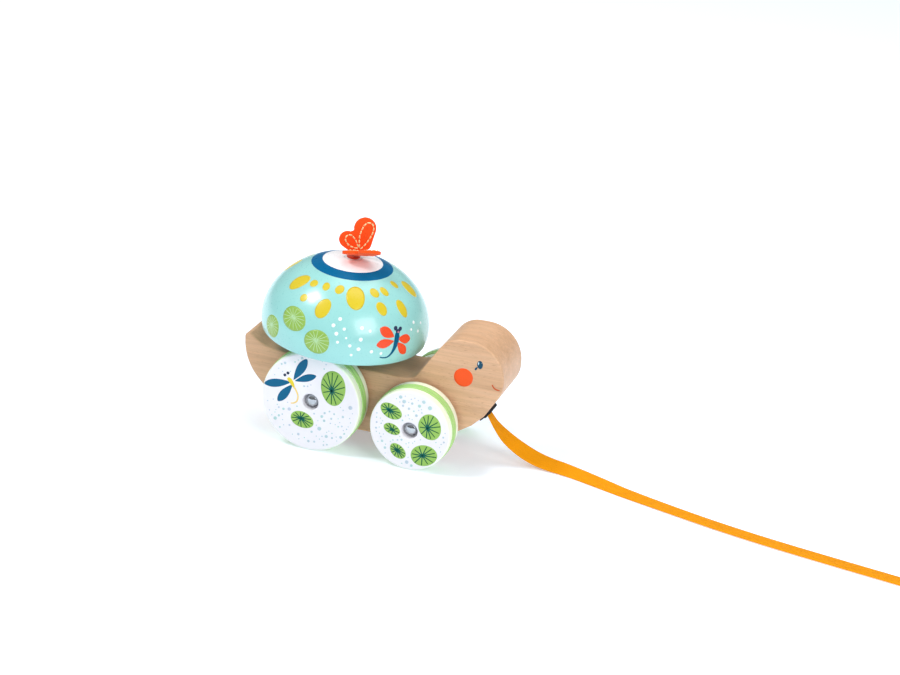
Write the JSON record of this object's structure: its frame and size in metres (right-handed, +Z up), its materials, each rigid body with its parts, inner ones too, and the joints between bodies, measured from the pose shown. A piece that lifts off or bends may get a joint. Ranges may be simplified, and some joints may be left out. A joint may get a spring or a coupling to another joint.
{
  "type": "pull along toy",
  "caption": "Wooden pull-along turtle on wheels, with a turning painted dome shell, a felt butterfly and a flat webbing pull strap.",
  "frame": {"origin": "on the floor under the centre of the toy's own box, in its mid plane; the strap is left out", "axes": "+X towards the head, +Z up, +Y to the turtle's left"},
  "size_m": [0.5423, 0.131, 0.1346],
  "materials": {
    "beech": "oiled, satin",
    "shell_paint": "gloss paint on turned wood",
    "white_paint": "satin paint on turned wood",
    "green_rubber": "matt",
    "cap_metal": "bright",
    "steel": "drawn",
    "nylon": "matt",
    "felt": "wool felt",
    "thread": "twisted thread",
    "black_metal": "satin black",
    "webbing": "woven webbing"
  },
  "bodies": {
    "board": {"board": "beech", "rear_axle": "steel", "front_axle": "steel", "rear_cap_right": "cap_metal", "rear_cap_left": "cap_metal", "front_cap_right": "cap_metal", "front_cap_left": "cap_metal", "rear_washer_right": "nylon", "rear_washer_left": "nylon", "front_washer_right": "nylon", "front_washer_left": "nylon", "pedestal": "beech", "bearing_washer": "nylon", "pivot_screw": "steel", "screw_washer": "steel", "chin_bar": "black_metal", "chin_screws": "black_metal", "strap_loop": "webbing", "strap": "webbing", "strap_coil": "webbing", "strap_end": "webbing"},
    "shell": {"shell": "shell_paint", "shell_plug": "white_paint", "butterfly_far_wings": "felt", "butterfly_near_wings": "felt", "butterfly_knot": "thread", "butterfly_pin": "steel"},
    "rear_wheel_right": {"rear_wheel_right": "white_paint", "rear_tread_right": "green_rubber"},
    "rear_wheel_left": {"rear_wheel_left": "white_paint", "rear_tread_left": "green_rubber"},
    "front_wheel_right": {"front_wheel_right": "white_paint", "front_tread_right": "green_rubber"},
    "front_wheel_left": {"front_wheel_left": "white_paint", "front_tread_left": "green_rubber"}
  },
  "joints": [
    {"name": "rear_wheel_right_spin", "type": "hinge", "parent": "board", "child": "rear_wheel_right", "pos_m": [-0.03, -0.03, 0.031], "axis": [0, 1, 0], "continuous": true},
    {"name": "rear_wheel_left_spin", "type": "hinge", "parent": "board", "child": "rear_wheel_left", "pos_m": [-0.03, 0.03, 0.031], "axis": [0, 1, 0], "continuous": true},
    {"name": "front_wheel_right_spin", "type": "hinge", "parent": "board", "child": "front_wheel_right", "pos_m": [0.032, -0.03, 0.025], "axis": [0, 1, 0], "continuous": true},
    {"name": "front_wheel_left_spin", "type": "hinge", "parent": "board", "child": "front_wheel_left", "pos_m": [0.032, 0.03, 0.025], "axis": [0, 1, 0], "continuous": true},
    {"name": "shell_spin", "type": "hinge", "parent": "board", "child": "shell", "pos_m": [-0.025, 0, 0.0624], "axis": [0.0698, 0, 0.9976], "continuous": true}
  ]
}
